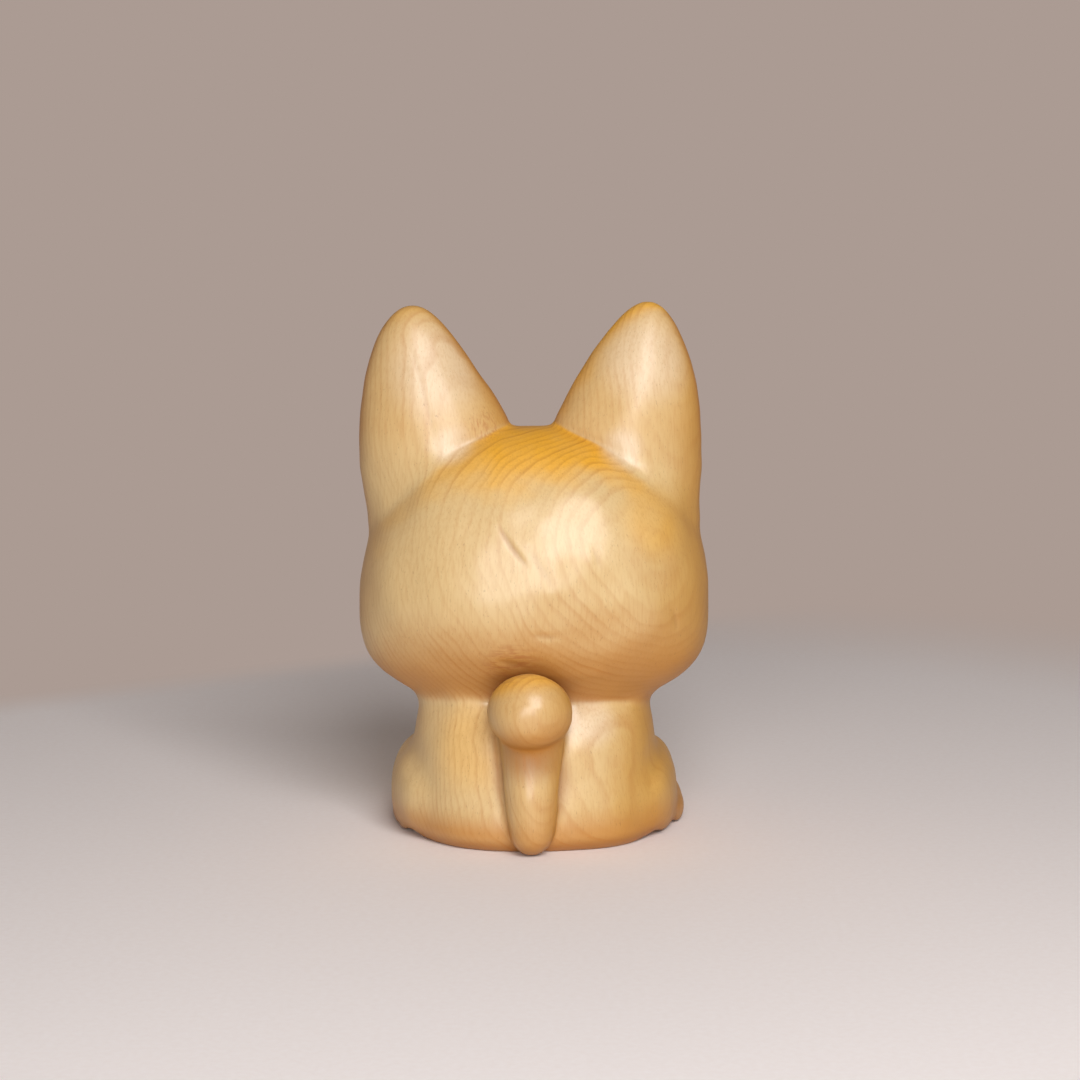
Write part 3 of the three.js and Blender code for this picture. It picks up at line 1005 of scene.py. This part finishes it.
def boxwood_masks(start, place, facing):
    """Where the looks of the wood are: 0 where there is nothing of them, and 1 at their full strength."""
    height = place.along(UP)
    masks = {name: place.near(spot) for name, spot in SPOTS.items()}
    masks["head"] = height.between(*SPANS["head"])
    masks["ear"] = height.between(*SPANS["ear"])
    masks["flank"] = facing.along(BACKWARD).size().between(*SPANS["flank"])
    # Painted shade on what faces down and darker towards the ground, and a painted contact shadow at the
    # sole
    masks["under"] = facing.along(FIBRE).between(*SPANS["under"])
    masks["low"] = height.between(*SPANS["low"]) * (1 - masks["under"])
    masks["sole"] = height.between(*SPANS["sole"])
    masks["end_grain"] = end_grain_mask(place, facing, masks["head"])

    amber = place.cloud(END_GRAIN["patch"]).between(*SPANS["amber_patch"]).lifted(END_GRAIN["faint_patch"])
    masks["amber_grain"] = masks["end_grain"] * amber
    masks["amber_patch"] = masks["amber"] * amber
    # Painted highlight of the polish, away from the flanks
    masks["painted_highlight"] = sum(place.near(spot) for spot in PAINTED_HIGHLIGHT_SPOTS) * (1 - masks["flank"])
    # Painted shade on the flanks, where the skin turns sideways, not on end grain
    masks["flank_shade"] = masks["flank"] * (1 - masks["end_grain"]) * shared(FLANK_SHADE, masks)
    masks["layers"] = layer_lines(place) * shared(LAYER_LINES, masks)

    masks["fibre"] = place.streaks(*STREAKS["fibre"])
    masks["fibre_lines"] = masks["fibre"].between(*SPANS["fibre"])
    masks["rough"] = place.cloud(ROUGH_LENGTH)
    masks["pore"] = place.streaks(*STREAKS["pore"]).between(*SPANS["pore"])
    masks["torn"] = masks["ear_root"] * place.streaks(*STREAKS["torn"]).between(*SPANS["torn"])
    masks["chipped"] = masks["above_tail"] * place.streaks(*STREAKS["chipped"]).between(*SPANS["chipped"])
    for name in ("hollow", "sheltered", "nick"):
        masks[name] = skin_mark(start, name).between(*SPANS[name])
    masks["worn"] = skin_mark(start, "hollow").between(*SPANS["worn"])
    return masks


def waxed_boxwood():
    """Honey-coloured boxwood: growth layers, fibres, amber end grain and darker wax in the hollows, with
    painted shade on its flanks, undersides, lowest rim, hollows and cuts, and painted highlights of the
    polish.
    """
    finish, start, place = new_finish("waxed_boxwood")
    facing = start.add("ShaderNodeTexCoord", output="Normal")
    masks = boxwood_masks(start, place, facing)
    # The wood's own tone, with painted shade on what faces its honey side
    colour = honey_side_mask(place, facing).mixed(WOOD["cream"], WOOD["honey"])
    for tint in TINTS:
        colour = (masks[tint.mask] * tint.strength).mixed(colour, WOOD[tint.tone])
    coat = COAT
    for name, share in COAT_LOST.items():
        coat = coat * (1 - share * masks[name])
    shader = start.add(
        "ShaderNodeBsdfPrincipled",
        {},
        {
            "Base Color": colour,
            "Roughness": shared(ROUGHNESS, masks),
            "Specular IOR Level": SHINE,
            "Normal": start.add("ShaderNodeBump", {}, {"Height": shared(RELIEF, masks), **BUMP}),
            "Coat Weight": coat,
            "Coat Roughness": COAT_ROUGHNESS,
        },
    )
    start.add("ShaderNodeOutputMaterial", {}, {"Surface": shader})
    return finish


def polished_ebony():
    """Near-black wood with faint brown fibres under a polish."""
    finish, start, place = new_finish("polished_ebony")
    fibre = place.streaks(*STREAKS["ebony"])
    shader = start.add(
        "ShaderNodeBsdfPrincipled",
        {},
        {
            "Base Color": fibre.between(*SPANS["ebony"]).mixed(EBONY["heart"], EBONY["fibre"]),
            "Roughness": shared(EBONY_ROUGHNESS, {"fibre": fibre}),
            "Coat Weight": EBONY_COAT,
            "Coat Roughness": EBONY_COAT_ROUGHNESS,
        },
    )
    start.add("ShaderNodeOutputMaterial", {}, {"Surface": shader})
    return finish


# The stage
def pale_sheet():
    """Matt paper near the figure, which passes into the even backdrop farther out."""
    finish, start, place = new_finish("pale_sheet")
    line = place.along(STAGE["backdrop_towards"]).between(*STAGE["backdrop_line"])
    far = place.away_from((0, 0, 0)).between(*STAGE["backdrop_round"])
    paper = place.cloud(*STAGE["tooth"]).mixed(STAGE["sheet_shade"], STAGE["sheet"])
    sheet = start.add("ShaderNodeBsdfPrincipled", {}, {"Base Color": paper, "Roughness": STAGE["roughness"]})
    backdrop = start.add("ShaderNodeEmission", {}, {"Color": STAGE["backdrop"]})
    both = start.add("ShaderNodeMixShader", {}, {0: line.either(far), 1: sheet, 2: backdrop})
    start.add("ShaderNodeOutputMaterial", {}, {"Surface": both})
    return finish


def add_floor():
    work = bmesh.new()
    squares = STAGE["squares"]
    bmesh.ops.create_grid(work, x_segments=squares, y_segments=squares, size=STAGE["half_size"] * MM)
    mesh = bpy.data.meshes.new("floor")
    work.to_mesh(mesh)
    work.free()
    mesh.materials.append(pale_sheet())
    floor = add_object("floor", mesh)


def add_world():
    """Even light from all round, more of it before the face. The camera sees the backdrop's colour there."""
    world = bpy.data.worlds.new("studio")
    world.use_nodes = True
    world.node_tree.nodes.clear()
    start = Wire(world.node_tree)
    rays = ("Is Camera Ray", "Is Glossy Ray", "Is Transmission Ray")
    seen = sum(start.add("ShaderNodeLightPath", output=ray) for ray in rays)
    towards = start.add("ShaderNodeTexCoord", output="Generated")
    before_face = towards.along(BACKWARD).between(*STAGE["front_light_span"])
    colour = seen.mixed(before_face.mixed(STAGE["air"], STAGE["front_light"]), STAGE["backdrop"])
    light = start.add("ShaderNodeBackground", {}, {"Color": colour})
    start.add("ShaderNodeOutputWorld", {}, {"Surface": light})
    bpy.context.scene.world = world


def around(azimuth, elevation, distance, target):
    """A place seen from the target at those angles, in metres. Azimuth 0 is before the cat."""
    turn, rise = math.radians(azimuth), math.radians(elevation)
    away = Vector((math.sin(turn) * math.cos(rise), -math.cos(turn) * math.cos(rise), math.sin(rise)))
    return (Vector(target) + away * distance) * MM


def aim(thing, place, target):
    """Puts a lamp or a camera in its place, looking at the target."""
    thing.location = place
    thing.rotation_euler = (Vector(target) * MM - place).to_track_quat("-Z", "Y").to_euler()


def add_lamp(name, lamp):
    light = bpy.data.lights.new(name, "AREA")
    light.shape = "RECTANGLE"
    light.size = lamp.width * MM
    light.size_y = lamp.height * MM
    light.energy = lamp.power
    thing = add_object(name, light)
    thing.visible_camera = False
    thing.visible_glossy = lamp.glossy
    aim(thing, around(lamp.azimuth, lamp.elevation, lamp.distance, LAMP_TARGET), LAMP_TARGET)


def add_camera():
    lens = bpy.data.cameras.new("camera")
    lens.angle = math.radians(CAMERA["view_angle"])
    lens.clip_start = CAMERA["nearest"] * MM
    camera = add_object("camera", lens)
    place = around(CAMERA["azimuth"], CAMERA["elevation"], CAMERA["distance"], CAMERA["target"])
    aim(camera, place, CAMERA["target"])
    bpy.context.scene.camera = camera


# The carving
fields = {node: form_field(node) for node in FORMS}
uncut = with_sockets(run_together(fields))
struck = functools.reduce(carved, all_strokes(), uncut)
carving = np.maximum(in_box(struck), -block_line(2)).astype(np.float32)

marks = {name: carving - softened(carving, reach) for name, reach in HOLLOWS.items()}
marks["nick"] = struck - uncut
boxwood = waxed_boxwood()
for node, mesh in part_at_creases(carving, fields).items():
    clean_cuts(mesh)
    finish_skin(mesh, carving, marks)
    mesh.materials.clear()
    mesh.materials.append(boxwood)
    piece = add_object("carved_" + node, mesh)
    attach(piece, "root")
    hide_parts(node)

ebony = polished_ebony()
for node in EYES:
    eye_bead(node, ebony, fields["head"])

# The stage and its light
add_floor()
add_world()
for name, lamp in LAMPS.items():
    add_lamp(name, lamp)
add_camera()
bpy.context.scene.view_settings.view_transform = "Standard"
